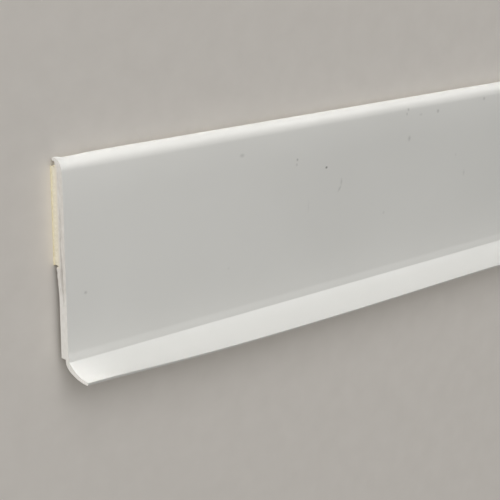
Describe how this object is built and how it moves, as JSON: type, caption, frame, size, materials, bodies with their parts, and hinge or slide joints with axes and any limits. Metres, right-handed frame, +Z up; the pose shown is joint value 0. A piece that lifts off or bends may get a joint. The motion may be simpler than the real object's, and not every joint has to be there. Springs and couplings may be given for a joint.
{
  "type": "lipped flat trim strip",
  "caption": "Flat white plastic trim strip with a rounded top edge and a thin curved lip along its foot, self-adhesive by a lined foam tape on the back.",
  "frame": {"origin": "on the floor below the middle of the strip's box, the strip lying on its back with the liner down", "axes": "+X along the strip, +Y across it from the foot lip to the rounded top edge, +Z up out of the face"},
  "size_m": [1, 0.05, 0.012],
  "materials": {
    "white_plastic": "satin",
    "cream_foam": "matte",
    "liner_paper": "satin"
  },
  "bodies": {
    "root": {"profile": "white_plastic", "foam_tape": "cream_foam", "release_liner": "liner_paper"}
  },
  "joints": []
}
